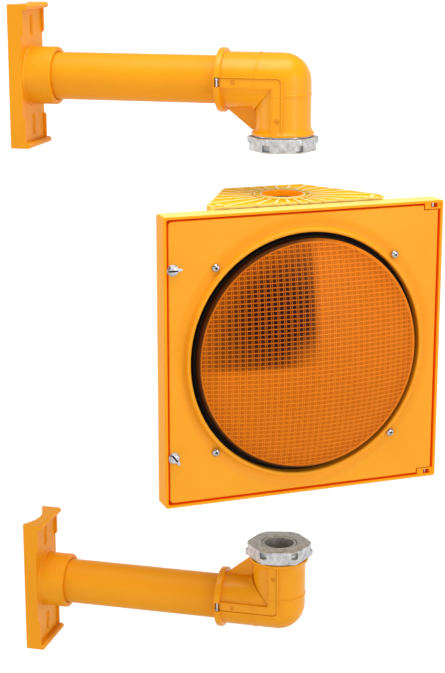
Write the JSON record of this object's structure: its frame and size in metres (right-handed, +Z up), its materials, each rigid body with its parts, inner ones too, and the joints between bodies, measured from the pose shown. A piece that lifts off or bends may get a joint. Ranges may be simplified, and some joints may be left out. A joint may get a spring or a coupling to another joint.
{
  "type": "traffic signal head",
  "caption": "Yellow single-lens traffic signal head with a hinged door, between two mast arms with elbows, threaded nipples and castellated locknuts.",
  "frame": {"origin": "where the upper foot seats on the mast, at the height of its tube axis", "axes": "+X along the arms away from the mast, +Z up along the swivel axis, -Y towards the side the lens looks at"},
  "size_m": [0.5308, 0.2541, 0.85],
  "materials": {
    "yellow_plastic": "glossy self-coloured polycarbonate",
    "yellow_paint": "satin yellow powder coat on cast and drawn aluminium",
    "cast_metal": "rough bare die casting",
    "steel": "stainless steel",
    "rubber": "matte black rubber",
    "amber": "translucent amber, prismatic inside",
    "reflector": "polished spun sheet",
    "clear_glass": "clear glass",
    "ceramic": "white porcelain"
  },
  "bodies": {
    "upper_arm": {"upper_foot": "yellow_paint", "upper_tube": "yellow_paint", "upper_elbow_outer": "yellow_plastic", "upper_elbow_inner": "yellow_plastic", "upper_elbow_screw_1": "yellow_plastic", "upper_elbow_screw_2": "yellow_plastic", "upper_collar_screw": "steel", "upper_nipple": "cast_metal"},
    "upper_washer_body": {"upper_washer": "steel"},
    "upper_nut_body": {"upper_nut": "cast_metal"},
    "top_ring": {"index_ring_top": "yellow_plastic"},
    "head": {"housing": "yellow_plastic", "reflector": "reflector", "reflector_screw_1": "steel", "reflector_screw_2": "steel", "reflector_screw_3": "steel", "reflector_screw_4": "steel", "lamp_holder": "ceramic", "bulb_glass": "clear_glass", "bulb_base": "steel", "terminal_block": "ceramic", "hinge_pin_upper": "steel", "hinge_pin_lower": "steel"},
    "door_leaf": {"door": "yellow_plastic", "door_seal": "rubber", "lens": "amber", "lens_gasket": "rubber", "lens_screw_1": "steel", "lens_screw_2": "steel", "lens_screw_3": "steel", "lens_screw_4": "steel", "lens_clamp_1": "steel", "lens_clamp_2": "steel", "lens_clamp_3": "steel", "lens_clamp_4": "steel"},
    "latch_upper_body": {"latch_upper": "steel", "latch_cam_upper": "steel"},
    "latch_lower_body": {"latch_lower": "steel", "latch_cam_lower": "steel"},
    "bottom_ring": {"index_ring_bottom": "yellow_plastic"},
    "lower_arm": {"lower_foot": "yellow_paint", "lower_tube": "yellow_paint", "lower_elbow_outer": "yellow_plastic", "lower_elbow_inner": "yellow_plastic", "lower_elbow_screw_1": "yellow_plastic", "lower_elbow_screw_2": "yellow_plastic", "lower_collar_screw": "steel", "lower_nipple": "cast_metal"},
    "lower_washer_body": {"lower_washer": "steel"},
    "lower_nut_body": {"lower_nut": "cast_metal"}
  },
  "joints": [
    {"name": "head_lift", "type": "slide", "parent": "upper_arm", "child": "top_ring", "axis": [0, 0, 1], "range_m": [0, 0.0525]},
    {"name": "head_aim", "type": "hinge", "parent": "top_ring", "child": "head", "pos_m": [0.338, 0, -0.15], "axis": [0, 0, 1], "range_deg": [-90, 90]},
    {"name": "door_swing", "type": "hinge", "parent": "head", "child": "door_leaf", "pos_m": [0.51749, 0.03656, -0.319], "axis": [0, 0, 1], "range_deg": [0, 100]},
    {"name": "latch_upper_turn", "type": "hinge", "parent": "door_leaf", "child": "latch_upper_body", "pos_m": [0.24488, -0.16165, -0.205], "axis": [-0.5736, 0.8192, 0], "range_deg": [0, 90]},
    {"name": "latch_lower_turn", "type": "hinge", "parent": "door_leaf", "child": "latch_lower_body", "pos_m": [0.24488, -0.16165, -0.433], "axis": [0.5736, -0.8192, 0], "range_deg": [0, 90]},
    {"name": "lower_arm_counter", "type": "hinge", "parent": "head", "child": "bottom_ring", "pos_m": [0.338, 0, -0.488], "axis": [0, 0, 1], "range_deg": [-90, 90]},
    {"name": "lower_arm_lift", "type": "slide", "parent": "bottom_ring", "child": "lower_arm", "axis": [0, 0, 1], "range_m": [0, 0.0885]},
    {"name": "upper_nut_travel", "type": "slide", "parent": "upper_arm", "child": "upper_washer_body", "axis": [0, 0, 1], "range_m": [-0.002, 0]},
    {"name": "upper_nut_turn", "type": "hinge", "parent": "upper_washer_body", "child": "upper_nut_body", "pos_m": [0.338, 0, -0.0745], "axis": [0, 0, 1], "range_deg": [-360, 0]},
    {"name": "lower_nut_travel", "type": "slide", "parent": "lower_arm", "child": "lower_washer_body", "axis": [0, 0, 1], "range_m": [0, 0.002]},
    {"name": "lower_nut_turn", "type": "hinge", "parent": "lower_washer_body", "child": "lower_nut_body", "pos_m": [0.338, 0, -0.5995], "axis": [0, 0, -1], "range_deg": [-360, 0]}
  ],
  "couplings": [
    {"joint": "lower_arm_counter", "follows": "head_aim", "ratio": -1},
    {"joint": "upper_nut_travel", "follows": "upper_nut_turn", "m_per_rad": 0.00031831},
    {"joint": "lower_nut_travel", "follows": "lower_nut_turn", "m_per_rad": -0.00031831}
  ]
}
